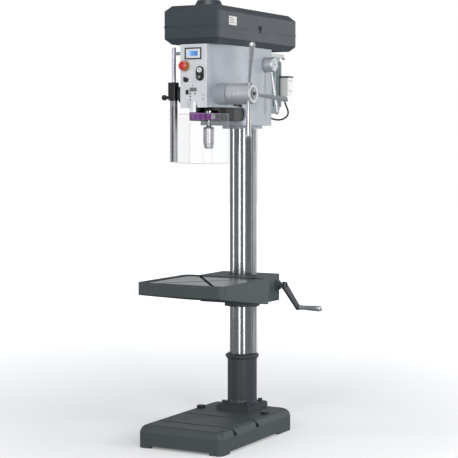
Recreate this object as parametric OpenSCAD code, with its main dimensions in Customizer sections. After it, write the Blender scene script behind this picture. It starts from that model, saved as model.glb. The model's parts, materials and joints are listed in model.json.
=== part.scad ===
// Floor-standing drill press with a belt-driven spindle, a rack-and-pinion table and a hinged belt guard.
// Origin: column axis at floor level. +Z up, the operator stands at -Y, +X is the operator's right.

/* [Column and base] */
// Outer diameter of the ground steel column
column_d = 115; // [112:1:118]
// Full width of the base casting
base_w = 420; // [400:5:460]
// Distance from the column axis to the front edge of the base
base_front = 580; // [560:5:590]
// Distance from the column axis to the back edge of the base
base_back = 100; // [98:1:110]
// Height of the base casting
base_h = 100; // [96:1:110]
// Height of the column foot's top collar above the floor
foot_top = 358; // [350:1:360]

/* [Table] */
// Full width of the drip rim of the table
table_w = 438; // [430:2:446]
// Distance from the column axis to the front of the table
table_front = 576; // [560:2:590]
// Height of the table's rim above the floor
table_z = 725; // [720:1:730]
// Depth of the machined surface below the rim
table_sink = 5; // [4:1:8]
// Length of the crank arm between its two axes
crank_arm_l = 184; // [176:1:186]

/* [Head] */
// Height of the lower edge of the head's front housing
head_low = 1486; // [1484:1:1488]
// Height of the top of the head casting, under the belt guard
head_top = 1758; // [1757:1:1759]
// Width of the control panel
panel_w = 131; // [126:1:134]
// Distance from the column axis to the control panel
panel_y = 452; // [448:1:456]
// Distance from the column axis to the spindle axis
throat = 315; // [312:1:318]
// Diameter of the quill
quill_d = 60; // [59:0.5:61]
// Distance from the spindle to the gear axis that feeds it
feed_gap = 48.2; // [48:0.1:48.4]
// Height of the capstan axis
capstan_z = 1543; // [1540:1:1546]

/* [Belt guard] */
// Full width of the belt guard
guard_w = 272; // [266:2:276]
// Distance from the column axis to the front of the guard
guard_front = 472; // [468:1:476]
// Distance from the column axis to the back of the guard
guard_back = 284; // [282:1:288]
// Height of the seam between the tray and the lid
seam_z = 1835; // [1833:1:1837]
// Height of the flat top of the lid
lid_z = 1925; // [1922:1:1928]

/* [Chuck guard] */
// Distance of the shield's post to the left of the spindle plane
post_x = 134; // [132:1:138]
// Distance from the column axis to the shield's post
post_y = 390; // [386:1:394]
// Diameter of the shield's post
post_d = 18; // [16:1:20]

/* [Hidden] */
$fn = 64;
column_r = column_d / 2;
quill_r = quill_d / 2;
// Running gap between a shaft and its bore
run = 0.06;
// Gap between neighbouring moving pieces
gap = 0.5;
sp_y = -throat;
feed_y = sp_y - feed_gap;
iron = "#4a5157";
paint = "#b9bfc6";
cover = "#434b52";
steel = "#c9ccd0";
dark = "#23272a";
plastic = "#15171a";
purple = "#6b2080";

// Rack and gears of the table lift
rack_m = 3;
rack_tip = 75;
rack_low = foot_top + 3;
rack_top = 1392;
rack_teeth_top = 1295;
lift_teeth = 10;
// Play between the rack and its pinion
mesh_play = 0.9;
lift_x = rack_tip - rack_m + rack_m * lift_teeth / 2 + mesh_play;
lift_z = table_z - 81;
crank_y = 62;
crank_z = lift_z + 30;
crank_x = 180;
crank_tilt = 129;
wheel_tip_r = 20.4;
worm_r = 9.2;

// Rack and gear of the quill feed
feed_m = 2.5;
feed_teeth = 16;

// Heights of the spindle parts
quill_low = 1438;
quill_top = 1712;
jaw_tilt = 15;
jaw_x = 11.2;
lock_y = -272;
estop_x = -40;
hub_x = 130;
stroke = 150;
chuck_low = 1306;
chuck_r = 24;
pulley_low = 1786;

// Points of an arc about (cx, cy)
function arc(cx, cy, r, a0, a1, n) =
    [for (i = [0:n]) [cx + r * cos(a0 + (a1 - a0) * i / n), cy + r * sin(a0 + (a1 - a0) * i / n)]];

// Flat rectangle between two corners with true round corners
module flat(x0, x1, y0, y1, r) {
    translate([x0 + r, y0]) square([x1 - x0 - 2 * r, y1 - y0]);
    translate([x0, y0 + r]) square([x1 - x0, y1 - y0 - 2 * r]);
    for (x = [x0 + r, x1 - r], y = [y0 + r, y1 - r]) translate([x, y]) circle(r);
}

// Upright block with round corners
module slab(x0, x1, y0, y1, z0, z1, r) {
    translate([0, 0, z0]) linear_extrude(z1 - z0) flat(x0, x1, y0, y1, r);
}

// Plain block between two corners
module block(x0, x1, y0, y1, z0, z1) {
    translate([x0, y0, z0]) cube([x1 - x0, y1 - y0, z1 - z0]);
}

// Cylinder along +X, +Y or +Z from a point
module along_x(x, y, z, r, l) { translate([x, y, z]) rotate([0, 90, 0]) cylinder(r = r, h = l); }
module along_y(x, y, z, r, l) { translate([x, y, z]) rotate([-90, 0, 0]) cylinder(r = r, h = l); }
module along_z(x, y, z, r, l) { translate([x, y, z]) cylinder(r = r, h = l); }

// Shape in the Y-Z plane, extruded along X between two planes
module side_profile(points, x0, x1) {
    translate([x0, 0, 0]) rotate([90, 0, 90]) linear_extrude(x1 - x0) polygon(points);
}

// Hexagon-head bolt standing on a surface at z, with its shank reaching down
module hex_bolt(x, y, z, head_r, head_h, shank_r, shank_l) {
    translate([x, y, z]) {
        cylinder(r = head_r * 1.15, h = 2.5);
        translate([0, 0, 2.5]) cylinder(r = head_r, h = head_h, $fn = 6);
        translate([0, 0, -shank_l]) cylinder(r = shank_r, h = shank_l);
    }
}

// One straight rack tooth gap seen across the rack: opens towards +X, centred on y = 0
function gap_points(m, tip) = [[tip + 1, -m * 1.12], [tip + 1, m * 1.12], [tip - m, m * 0.86],
    [tip - m * 2.05, m * 0.5], [tip - m * 2.05, -m * 0.5], [tip - m, -m * 0.86]];

// Spur gear outline with backlash: straight-flanked teeth on a round root
module gear_2d(m, n) {
    pitch = m * n / 2;
    circle(pitch - m * 1.1);
    for (i = [0:n - 1]) rotate(i * 360 / n)
        polygon([[pitch - m * 1.3, -m * 0.95], [pitch - m * 1.3, m * 0.95], [pitch, m * 0.64],
            [pitch + m * 0.45, m * 0.42], [pitch + m * 0.82, m * 0.18], [pitch + m * 0.82, -m * 0.18],
            [pitch + m * 0.45, -m * 0.42], [pitch, -m * 0.64]]);
}

// ---- Base and column ----

module base_casting() {
    anchor_r = 8;
    rear_pad = -40;
    color(iron) difference() {
        hull() {
            slab(-base_w / 2, base_w / 2, -base_front, base_back, 0, base_h - 30, 26, $fn = 32);
            for (step = [[base_h - 15, 5], [base_h - 6, 13], [base_h, 28]])
                slab(-base_w / 2 + step[1], base_w / 2 - step[1], -base_front + step[1],
                    base_back - step[1] / 2, base_h - 31, step[0], 26, $fn = 32);
        }
        block(-base_w / 2 + 62, base_w / 2 - 62, -base_front - 1, rear_pad, -1, 10);
        block(-base_w, base_w, -base_front + 75, rear_pad, -1, 10);
        for (x = [-base_w / 2 + 18, 7], k = [0:3])
            block(x, x + base_w / 2 - 25, -base_front + 22 + k * 154, -base_front + 164 + k * 154, -1, 60);
        for (y = [-455, -245]) {
            block(-base_w, base_w, y - 8, y + 8, base_h - 16, base_h + 1);
            block(-base_w, base_w, y - 15, y + 15, base_h - 30, base_h - 15.9);
        }
        for (x = [-166, 166]) along_z(x, -96, base_h - 34, 9, 40);
        for (x = [-180, 180], y = [-525, 65]) {
            along_z(x, y, -1, anchor_r, base_h + 2);
        }
        for (x = [-62, 62], y = [-62, 62]) along_z(x, y, base_h - 36, 6, 40);
    }
    color(iron) for (x = [-180, 180], y = [-525, 65]) difference() {
        along_z(x, y, 0, 16, base_h - 26);
        along_z(x, y, -1, anchor_r, base_h + 2);
    }
}

module base_plugs() {
    color(plastic) for (x = [-166, 166]) {
        slab(x - 15, x + 15, -111, -81, base_h, base_h + 13, 3);
        along_z(x, -96, base_h - 20, 8.9, 21);
    }
}

module column_foot() {
    color(dark) difference() {
        union() {
            slab(-90, 90, -90, 90, base_h, base_h + 22, 10);
            slab(-85, 85, -85, 85, base_h, base_h + 26, 8);
            translate([0, 0, base_h]) rotate_extrude() polygon(concat([[0, 0], [78, 0], [78, 28], [70, 34],
                [68, 44], [68, foot_top - base_h - 26], [72, foot_top - base_h - 24]],
                arc(70, foot_top - base_h - 12, 8, -70, 70, 8), [[66, foot_top - base_h], [0, foot_top - base_h]]));
        }
        along_z(0, 0, base_h - 1, column_r, 400);
        for (x = [-62, 62], y = [-62, 62]) along_z(x, y, base_h - 1, 6, 60);
        for (x = [-62, 62], y = [-62, 62]) along_z(x, y, base_h + 26, 15, 20);
    }
}

module foot_bolts() {
    color(dark) for (x = [-62, 62], y = [-62, 62]) hex_bolt(x, y, base_h + 26, 12, 11, 5.9, 50);
}

module column() {
    color(steel) difference() {
        along_z(0, 0, base_h, column_r, 1730 - base_h);
        along_z(0, 0, base_h - 1, column_r - 8, 1800);
    }
}

module rack() {
    pitch = rack_m * PI;
    teeth = floor((rack_teeth_top - rack_low) / pitch);
    start = lift_z - pitch * floor((lift_z - rack_low) / pitch);
    color(steel) difference() {
        block(column_r + 1, rack_tip, -9, 9, rack_low, rack_top);
        translate([0, 9.5, 0]) rotate([90, 0, 0]) linear_extrude(19)
            for (i = [0:teeth - 1]) translate([0, start + i * pitch]) polygon(gap_points(rack_m, rack_tip));
    }
}

// ---- Table ----

module table() {
    rim = table_w / 2;
    back = 140;
    top = table_z - table_sink;
    color(iron) difference() {
        intersection() {
            slab(-rim, rim, -table_front, -back, table_z - 130, table_z, 30);
            side_profile([[-table_front, table_z - 52], [-table_front + 6, table_z - 56],
                [-back, table_z - 118], [-back, table_z], [-table_front + 4, table_z],
                [-table_front, table_z - 5]], -rim - 1, rim + 1);
        }
        difference() {
            slab(-rim + 14, rim - 14, -table_front + 14, -back - 14, top - 9, table_z + 1, 20);
            slab(-rim + 30, rim - 30, -table_front + 32, -back - 26, top - 20, top, 6);
        }
        for (s = [-1, 1]) {
            slot_angle = atan2(410, 300) * s;
            translate([0, -340, 0]) rotate(slot_angle) {
                block(-245, 245, -8, 8, top - 14, table_z);
                block(-245, 245, -14, 14, top - 24, top - 13.9);
            }
        }
        for (x = [-rim + 20, 8], y = [-table_front + 24, -340])
            block(x, x + rim - 28, y, y + 190, table_z - 140, table_z - 52);
        for (x = [-110, 110]) along_y(x, -151, table_z - 90, 5, 12);
    }
}

module table_arm() {
    back = crank_y + 34;
    color(iron) difference() {
        union() {
            slab(-150, 150, -139.9, back, table_z - 122, table_z, 16);
            along_z(0, 0, table_z - 146, 82, 60);
            along_x(148, crank_y, crank_z, 19, 17);
            along_x(148, crank_y, crank_z, 26, 8);
        }
        along_z(0, 0, table_z - 200, column_r + 0.08, 300);
        block(column_r - 6, rack_tip + 3.5, -11, 11, table_z - 200, table_z + 1);
        block(64, 112, -14, crank_y + 14, lift_z - 24, crank_z + 16);
        along_y(lift_x, -40, lift_z, 8 + run, crank_y + 68);
        along_x(60, crank_y, crank_z, 10 + run, 120);
        block(-150.5, -40, -3, 3, table_z - 200, table_z + 1);
        along_y(-118, -90, table_z - 55, 8 + run, 200);
        block(-135, -75, -120, -22, table_z - 130, table_z - 22);
        block(20, 138, -120, -70, table_z - 130, table_z - 22);
        for (x = [-110, 110]) along_y(x, -150, table_z - 90, 5, 30);
    }
}

module table_bolts() {
    color(dark) for (x = [-110, 110]) {
        along_y(x, -164, table_z - 90, 4.9, 44);
        translate([x, -110, table_z - 90]) rotate([90, 0, 0]) cylinder(r = 10, h = 9.9, $fn = 6);
    }
}

module lift_gear() {
    color(steel) translate([lift_x, 0, lift_z]) rotate([90, 0, 0]) {
        rotate(180) translate([0, 0, -9]) linear_extrude(18) gear_2d(rack_m, lift_teeth);
        translate([0, 0, -crank_y - 24]) cylinder(r = 8, h = crank_y + 52);
        translate([0, 0, -crank_y - 8]) cylinder(r = wheel_tip_r - 3, h = 16);
        translate([0, 0, -crank_y - 8]) linear_extrude(16)
            for (i = [0:23]) rotate(i * 15) translate([wheel_tip_r - 4, -1.3]) square([4, 2.6]);
    }
}

module crank_shaft() {
    color(steel) {
        along_x(113, crank_y, crank_z, 10, crank_x + 12 - 113);
        along_x(66, crank_y, crank_z, 6, 48);
        along_x(lift_x - 16, crank_y, crank_z, worm_r - 1.4, 32);
        for (i = [0:5]) along_x(lift_x - 15.5 + i * 5.4, crank_y, crank_z, worm_r, 2.6);
    }
}

module crank_arm() {
    color(dark) difference() {
        translate([crank_x, crank_y, crank_z]) rotate([-crank_tilt, 0, 0]) rotate([90, 0, 90]) union() {
            cylinder(r = 18, h = 16);
            translate([0, crank_arm_l]) cylinder(r = 13, h = 14);
            linear_extrude(14) polygon([[-16, 0], [16, 0], [12, crank_arm_l], [-12, crank_arm_l]]);
        }
        along_x(crank_x - 1, crank_y, crank_z, 10, 20);
    }
    color(steel) along_x(crank_x + 2, grip_y, grip_z, 4, 118);
}

// Centre of the crank's grip in the Y-Z plane
grip_y = crank_y + crank_arm_l * sin(crank_tilt);
grip_z = crank_z + crank_arm_l * cos(crank_tilt);

module crank_grip() {
    color(steel) translate([crank_x + 15, grip_y, grip_z]) rotate([0, 90, 0]) rotate_extrude()
        polygon([[4 + run, 0], [10, 0], [11.5, 3], [11, 30], [13, 70], [14, 95], [13, 108], [10, 114], [4 + run, 115]]);
}

module table_lock_lever() {
    color(dark) {
        along_y(-118, 40, table_z - 55, 8, crank_y + 11);
        along_y(-118, crank_y + 35, table_z - 55, 13, 14);
    }
    color(steel) translate([-118, crank_y + 43, table_z - 55]) rotate([0, -80, 0]) {
        translate([0, 0, 5]) cylinder(r1 = 6, r2 = 5, h = 95);
        translate([0, 0, 100]) cylinder(r1 = 8, r2 = 9, h = 22);
    }
}

// ---- Head ----

// Right half of the head's outline in plan, drawn in by a wall thickness
function head_half(t) = concat([[65 - t, -449 + t], [65 - t, -408], [68 - t, -398], [76 - t, -378],
    [92 - t, -345], [103 - t, -295], [108 - t, -210], [112 - t, -60]],
    arc(85, 62, 30 - t, 0, 90, 8));

function mirrored(points) = concat(points, [for (i = [len(points) - 1:-1:0]) [-points[i][0], points[i][1]]]);

module head_casting() {
    low = head_low - 76;
    arch_y = -200;
    arch_z = head_low - 28;
    color(paint) difference() {
        union() {
            difference() {
                translate([0, 0, head_low]) linear_extrude(head_top - head_low) polygon(mirrored(head_half(0)));
                translate([0, 0, head_low + 10]) linear_extrude(400) polygon(mirrored(head_half(8)));
            }
            difference() {
                translate([0, 0, low]) linear_extrude(head_low - low + 5) polygon(mirrored(head_half(0.2)));
                block(-200, 200, -600, arch_y, low - 1, head_low);
                along_x(-200, arch_y, arch_z, 30, 400);
                block(-200, 200, -600, arch_y + 1, low - 1, arch_z);
            }
            along_z(0, sp_y, head_low, 42, 214);
            along_z(0, 0, head_low - 60, 76, 320);
            along_z(0, 0, low, 106, 18);
            along_z(0, 0, low - 14, 92, 20);
            along_x(-77, feed_y, capstan_z, 25, 154);
            along_x(60, feed_y, capstan_z, 46, hub_x - 61);
            along_x(90, 10, 1686, 34, 26);
            along_x(20, lock_y, 1502, 12, 82);
            block(-13, 13, feed_y - 25, sp_y, capstan_z - 30, capstan_z + 30);
        }
        along_z(0, 0, low - 20, column_r + 0.02, 345);
        along_z(0, sp_y, head_low - 100, quill_r + run, 400);
        along_x(-120, feed_y, capstan_z, 14 + run, 260);
        along_x(-12, feed_y, capstan_z, 24, 24);
        along_x(92, 10, 1686, 12 + run, 40);
        block(-60, 60, -450, -440, 1500, 1750);
        for (z = [1430, 1475]) along_y(0, 40, z, 6, 80);
        along_x(60, lock_y, 1502, 6 + run, 60);
    }
}

module head_clamp_screws() {
    color(dark) for (z = [1430, 1475]) {
        along_y(0, 62, z, 5.9, 30);
        along_y(0, 92.1, z, 10, 10);
    }
}

module control_panel() {
    color("#d8dadd") difference() {
        union() {
            slab(-panel_w / 2, panel_w / 2, -panel_y, -panel_y + 2.9, head_low + 11, head_top - 1, 1);
            slab(-panel_w / 2, -10, -panel_y - 1, -panel_y + 2.9, head_low - 5, head_low + 11, 1);
            slab(20, panel_w / 2, -panel_y, -panel_y + 2.9, head_low - 2, head_low + 11, 1);
        }
        for (p = [[estop_x, 1664, 11], [-32, 1603, 4.1]]) along_y(p[0], -panel_y - 2, p[1], p[2], 10);
        block(-36, 36, -panel_y - 2, -panel_y + 5, 1697, 1737);
        block(21, 49, -panel_y - 2, -panel_y + 5, 1606, 1654);
        for (z = [1615, 1645]) along_y(35, -panel_y - 2, z, 12, 10);
        block(-36.5, -23.5, -panel_y - 2, -panel_y + 5, 1541, 1561);
        block(-15, 15, -panel_y - 2, -panel_y + 5, 1556, 1568);
    }
    color(plastic) for (x = [-58, 58], z = [head_low + 18, head_top - 9])
        along_y(x, -panel_y - 1.5, z, 3, 1.6);
}

module display() {
    color(plastic) difference() {
        slab(-41, 41, -panel_y - 4, -panel_y, 1692, 1742, 1);
        block(-36, 36, -panel_y - 5, -panel_y - 2, 1697, 1737);
    }
    color("#a8c4e8") block(-35.9, 35.9, -panel_y - 2, -panel_y + 14, 1697.1, 1736.9);
}

module estop_collar() {
    color("#e0b020") difference() {
        union() {
            along_y(estop_x, -panel_y - 3, 1664, 24, 3);
            along_y(estop_x, -panel_y - 11, 1664, 14, 8.1);
            along_y(estop_x, -panel_y, 1664, 10.9, 40);
        }
        along_y(estop_x, -panel_y - 20, 1664, 6 + run, 70);
    }
}

module estop_button() {
    color("#d0201c") translate([estop_x, -panel_y - 32, 1664]) rotate([-90, 0, 0]) rotate_extrude()
        polygon([[0, 0], [10, 0.6], [16, 2.2], [19, 5], [19.8, 8], [19.8, 12], [14, 14], [6, 14], [6, 32], [0, 32]]);
}

module button_box() {
    color(plastic) difference() {
        union() {
            block(17.5, 52.5, -panel_y - 8, -panel_y, 1616.5, 1643.5);
            for (z = [1616.5, 1643.5]) along_y(35, -panel_y - 8, z, 17.5, 8);
            block(21.1, 48.9, -panel_y, -panel_y + 26, 1606.1, 1653.9);
        }
        for (z = [1615, 1645]) along_y(35, -panel_y - 10, z, 12, 20);
    }
}

module push_button(z, tint) {
    color(tint) translate([35, -panel_y - 12, z]) rotate([-90, 0, 0]) rotate_extrude()
        polygon([[0, 0.8], [8, 0.8], [10.6, 0.2], [11.4, 1.4], [11.5, 17], [0, 17]]);
}

module start_button() { push_button(1645, "#e8ece8"); }

module stop_button() { push_button(1615, "#1c1c20"); }

module selector_plate() {
    color("#eceef0") difference() {
        along_y(-32, -panel_y - 2, 1603, 17, 2);
        along_y(-32, -panel_y - 4, 1603, 4 + run, 10);
    }
}

module selector_knob() {
    color(plastic) difference() {
        union() {
            translate([-32, -panel_y - 16, 1603]) rotate([-90, 0, 0])
                rotate_extrude() polygon([[0, 0], [8.4, 0], [9.4, 1], [10.6, 13.5], [0, 13.5]]);
            along_y(-32, -panel_y - 4, 1603, 4, 24);
            translate([-32, -panel_y - 19, 1603]) rotate([0, -25, 0]) block(-2.5, 2.5, 0, 14, -3, 13);
        }
        translate([-32, -panel_y - 19.2, 1603]) rotate([0, -25, 0]) block(-0.6, 0.6, 0, 1, 3, 12.5);
    }
}

module power_rocker() {
    color(plastic) along_x(-36.4, -449, 1551, 1.5, 12.8);
    color(plastic) translate([-30, -panel_y - 1, 1551]) rotate([0, 90, 0]) translate([0, 0, -6])
        linear_extrude(12) polygon([[-9, 0], [-8.6, -3], [0, -1], [8.6, -4.4], [9, 0], [7, 7], [0, 9], [-7, 7]]);
}

module position_readout() {
    color("#7b8488") difference() {
        slab(-17.5, 17.5, -panel_y - 2, -panel_y, 1553, 1570, 0.9);
        block(-15.5, 15.5, -panel_y - 3, -panel_y - 1, 1555, 1568);
    }
    color("#4a5458") block(-14.9, 14.9, -panel_y - 1, -panel_y + 10, 1556.1, 1567.9);
}

module depth_scale() {
    color("#e6e8ea") difference() {
        slab(-5, 17, -panel_y - 24, -panel_y - 4, 1463.1, 1512, 3);
        along_z(6, -panel_y - 14, 1450, 4, 80);
    }
}

module lamp_housing() {
    low = head_low - 57;
    color(plastic) difference() {
        intersection() {
            translate([0, 0, low]) linear_extrude(56.8)
                polygon(mirrored([[58, -372], [76, -352], [89, -318], [97, -260], [100, -171]]));
            union() {
                block(-200, 200, -400, -200, low, head_low);
                along_x(-200, -200, head_low - 28, 29, 400);
            }
        }
        along_z(0, sp_y, low - 1, 58, 80);
        block(-22, 70, -400, sp_y - 3, low - 1, head_low - 14);
        translate([69, -285, low + 24]) rotate([0, 33, 0]) translate([0, 0, -70]) cylinder(r = 24.1, h = 76);
    }
}

module lamp_lens() {
    color("#d8cbb0") translate([69, -285, head_low - 33]) rotate([0, 33, 0]) cylinder(r = 24, h = 5.9);
}

module quill_lock() {
    color(dark) {
        along_x(74, lock_y, 1502, 6, 44);
        along_x(107, lock_y, 1502, 9, 11);
    }
    color(plastic) translate([114, lock_y, 1502]) rotate([-100, 0, 0]) {
        cylinder(r1 = 4.5, r2 = 4, h = 34);
        translate([0, 0, 30]) cylinder(r1 = 6, r2 = 7, h = 16);
    }
}

// ---- Spindle ----

module quill() {
    pitch = feed_m * PI;
    color(steel) difference() {
        along_z(0, sp_y, quill_low, quill_r, quill_top - quill_low);
        along_z(0, sp_y, quill_low - 1, 17, 400);
        along_z(0, sp_y, quill_low - 1, 24 , 21);
        along_z(0, sp_y, quill_top - 18, 24, 21);
        translate([11, sp_y, capstan_z]) rotate([90, 0, -90]) linear_extrude(22)
            for (i = [-2:20]) translate([0, i * pitch]) polygon(gap_points(feed_m, quill_r));
    }
}

module quill_bearings() {
    color("#9aa0a6") for (z = [quill_low, quill_top - 18]) difference() {
        along_z(0, sp_y, z + 1, 23.95, 17);
        along_z(0, sp_y, z, 15 + run, 30);
    }
}

module spindle() {
    color(steel) {
        along_z(0, sp_y, quill_low - 6, 15, quill_top - quill_low + 12);
        along_z(0, sp_y, quill_top, 12, 208);
        along_z(0, sp_y, 1374, 7.5, quill_low - 1374);
    }
}

module depth_ring() {
    z = head_low - 54;
    color(purple) difference() {
        union() {
            along_z(0, sp_y, z, 54, 31);
            hull() {
                along_z(0, sp_y - 46, z, 16, 31, $fn = 32);
                along_z(4, -panel_y - 8, z, 17, 31, $fn = 32);
            }
            hull() {
                along_z(32, sp_y - 20, z, 14, 31, $fn = 32);
                along_z(53, sp_y - 20, z + 3, 12, 25, $fn = 32);
            }
        }
        along_z(0, sp_y, z - 1, quill_r + 0.02, 40);
        block(-1.5, 1.5, sp_y, sp_y + 60, z - 1, z + 40);
        along_z(6, -panel_y - 14, z - 1, 4, 40);
        along_y(54, sp_y - 60, z + 14, 4, 50);
    }
}

module depth_ring_screw() {
    color(steel) translate([54, sp_y - 12, head_low - 40]) rotate([90, 0, 0]) {
        cylinder(r = 3.9, h = 42);
        translate([0, 0, 34]) cylinder(r1 = 9, r2 = 11, h = 14);
    }
}

// Places a chuck jaw's axis: i-th of three, leaning inward as it goes down
module jaw_axis(i) {
    translate([0, sp_y, chuck_low + 32]) rotate(i * 120) rotate([0, jaw_tilt, 0]) translate([jaw_x, 0, 0])
        children();
}

module chuck_body() {
    color(steel) difference() {
        translate([0, sp_y, chuck_low + 12]) rotate_extrude()
            polygon([[0, 0], [13, 0], [19, 10], [19, 68], [13, 68], [13, 84], [10, 90], [0, 90]]);
        along_z(0, sp_y, 1374, 7.5, 60);
        for (i = [0:2]) jaw_axis(i) translate([0, 0, -60]) cylinder(r = 3.05, h = 76);
        along_z(0, sp_y, chuck_low, 6.5, 60);
    }
}

module chuck_sleeve() {
    color(steel) difference() {
        translate([0, sp_y, chuck_low]) rotate_extrude()
            polygon([[14, 0], [16, 0], [20, 5], [22, 20], [chuck_r, 22], [chuck_r, 88], [21, 95], [14, 95]]);
        along_z(0, sp_y, chuck_low + 6, 19 + run, 75);
        for (i = [0:23]) translate([0, sp_y, 0]) rotate(i * 15) along_z(chuck_r, 0, chuck_low + 26, 0.8, 56);
    }
}

// One of three hardened jaws: a rod that slides down and inward in the body
module jaw(i) {
    color("#8d9298") jaw_axis(i) translate([0, 0, -28]) cylinder(r = 3, h = 28);
}

module chuck_jaw_1() { jaw(0); }

module chuck_jaw_2() { jaw(1); }

module chuck_jaw_3() { jaw(2); }

// ---- Quill feed ----

module feed_shaft() {
    color(steel) {
        along_x(-76, feed_y, capstan_z, 14, hub_x + 98);
        translate([-10, feed_y, capstan_z]) rotate([90, 0, 90]) linear_extrude(20) gear_2d(feed_m, feed_teeth);
        along_x(-104, feed_y, capstan_z, 9, 30);
    }
}

module capstan_hub() {
    color(paint) difference() {
        translate([hub_x, feed_y, capstan_z]) rotate([0, 90, 0]) rotate_extrude()
            polygon([[0, 0], [43, 0], [45.5, 4], [45.5, 24], [44.5, 25], [44.5, 27], [45.5, 28], [45.5, 68],
                [44.5, 69], [44.5, 71], [45.5, 72], [45.5, 106], [43, 108], [43, 115], [40, 118], [0, 118]]);
        along_x(hub_x - 1, feed_y, capstan_z, 14, 23);
        for (i = [0:2]) lever_axis(i) translate([0, 0, 20]) cylinder(r = 6, h = 40);
    }
}

// Root of a capstan lever: angle from straight up, leaning outward
module lever_axis(i) {
    translate([hub_x + 92, feed_y, capstan_z]) rotate([-95 + i * 120, 0, 0]) rotate([0, 17, 0]) children();
}

module capstan_levers() {
    color(steel) for (i = [0:2]) lever_axis(i) {
        translate([0, 0, 20]) cylinder(r = 6, h = 60);
        translate([0, 0, 44]) rotate_extrude()
            polygon([[0, 0], [7, 0], [7.5, 8], [6.2, 12], [12, 176], [12.8, 190], [11, 197], [6, 200], [0, 200]]);
    }
}

module return_spring_case() {
    color(dark) difference() {
        along_x(-110, feed_y, capstan_z, 40, 24);
        along_x(-106, feed_y, capstan_z, 36, 30);
    }
}

// ---- Belt tension lever ----

module tension_hub() {
    color(dark) along_x(94, 10, 1686, 12, 30);
    color(paint) translate([117, 10, 1686]) rotate([0, 90, 0]) rotate_extrude()
        polygon([[0, 0], [31, 0], [33, 3], [33, 39], [30, 43], [30, 44], [0, 44]]);
}

module tension_lever() {
    color(steel) translate([140, 10, 1686]) rotate([180, 0, 0]) rotate([0, 9, 0]) translate([0, 0, 32])
        rotate_extrude()
        polygon([[0, 0], [6.4, 0], [6.8, 8], [5.8, 12], [8.6, 170], [9.6, 184], [8, 190], [4, 192], [0, 192]]);
}

// ---- Drive ----

motor_y = 196;
motor_r = 84;

module motor() {
    color("#8b979a") difference() {
        union() {
            along_z(0, motor_y, 1484, motor_r, 246);
            along_z(0, motor_y, 1469, motor_r - 4, 16);
            for (i = [0:23]) translate([0, motor_y, 1500]) rotate(i * 15 + 7.5)
                translate([motor_r - 2, -1.6, 0]) cube([10, 3.2, 210]);
            slab(-80, 80, motor_y - 98, motor_y - 70, 1500, 1746, 5);
            slab(-84, 84, motor_y - 80, motor_y + 74, 1730, 1746, 12);
            for (z = [1560, 1690]) block(-40, 40, 92.2, 100, z, z + 24);
            along_z(0, motor_y, 1746, 40, 6);
        }
        for (i = [0:11]) translate([0, motor_y, 1460]) rotate(i * 30) block(30, 68, -4, 4, 0, 14);
        along_z(0, motor_y, 1734, 12 + run, 30);
    }
}

module motor_pulley() {
    color(steel) {
        along_z(0, motor_y, 1735, 12, 110);
        belt_pulley(motor_y, 50, 62);
    }
}

// Two-step pulley for a ribbed belt: lower step radius a, upper step radius b
module belt_pulley(y, a, b) {
    translate([0, y, pulley_low]) rotate_extrude() polygon([[0, 0], [a + 5, 0], [a + 5, 3], [a, 3], [a, 25],
        [a + 5, 25], [b + 5, 27], [b + 5, 30], [b, 30], [b, 52], [b + 5, 52], [b + 5, 55], [0, 55]]);
}

module spindle_pulley() {
    color(steel) difference() {
        union() {
            belt_pulley(sp_y, 95, 82);
            along_z(0, sp_y, 1766, 30, 30);
        }
        along_z(0, sp_y, 1700, 12 + run, 200);
    }
}

module drive_belt() {
    color(plastic) translate([0, 0, pulley_low + 4]) linear_extrude(20) difference() {
        belt_outline(6);
        belt_outline(0.6);
    }
}

// Outline of the belt loop, t outside the pulleys' faces
module belt_outline(t) {
    hull() {
        translate([0, sp_y]) circle(95 + t, $fn = 96);
        translate([0, motor_y]) circle(50 + t, $fn = 96);
    }
}

module terminal_box() {
    color("#d9d8cc") difference() {
        union() {
            slab(96, 141, 192, 240, 1552, 1634, 7);
            slab(93, 144, 189, 243, 1634, 1642, 8);
            slab(92.3, 100, 198, 228, 1560, 1626, 3);
            along_z(110, 214, 1542, 10, 12);
        }
        along_z(110, 214, 1540, 4.2, 16);
    }
}

// Route of the motor lead from the terminal box to the back of the head
cable_route = [[110, 214, 1543], [111, 214, 1528], [117, 214, 1508], [126, 214, 1488], [132, 209, 1470],
    [132, 196, 1455], [126, 177, 1444], [117, 154, 1438], [107, 132, 1438], [98, 114, 1442],
    [89, 102, 1448], [80, 95.5, 1453], [72, 94, 1455]];

function unit(v) = v / norm(v);

function tube_ring(k, r, n) = let (
        last = len(cable_route) - 1,
        t = unit(cable_route[min(k + 1, last)] - cable_route[max(k - 1, 0)]),
        u = unit(cross(t, [0.3, 1, 0.2])),
        v = cross(t, u)
    ) [for (a = [0:n - 1]) cable_route[k] + r * cos(a * 360 / n) * u + r * sin(a * 360 / n) * v];

module motor_cable() {
    n = 10;
    rings = len(cable_route);
    points = [for (k = [0:rings - 1]) each tube_ring(k, 4, n)];
    sides = [for (k = [0:rings - 2], a = [0:n - 1])
        [k * n + a, (k + 1) * n + a, (k + 1) * n + (a + 1) % n, k * n + (a + 1) % n]];
    ends = [[for (a = [0:n - 1]) a], [for (a = [n - 1:-1:0]) (rings - 1) * n + a]];
    color(plastic) polyhedron(points, concat(sides, ends));
}

// ---- Belt guard ----

// Outline of one side of the guard: chamfered low and high corners between two heights
function guard_side(a, b, z0, z1, c0, c1) = [[a + c0, z0], [b - c0, z0], [b, z0 + c0], [b, z1 - c1],
    [b - c1, z1], [a + c1, z1], [a, z1 - c1], [a, z0 + c0]];

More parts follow.
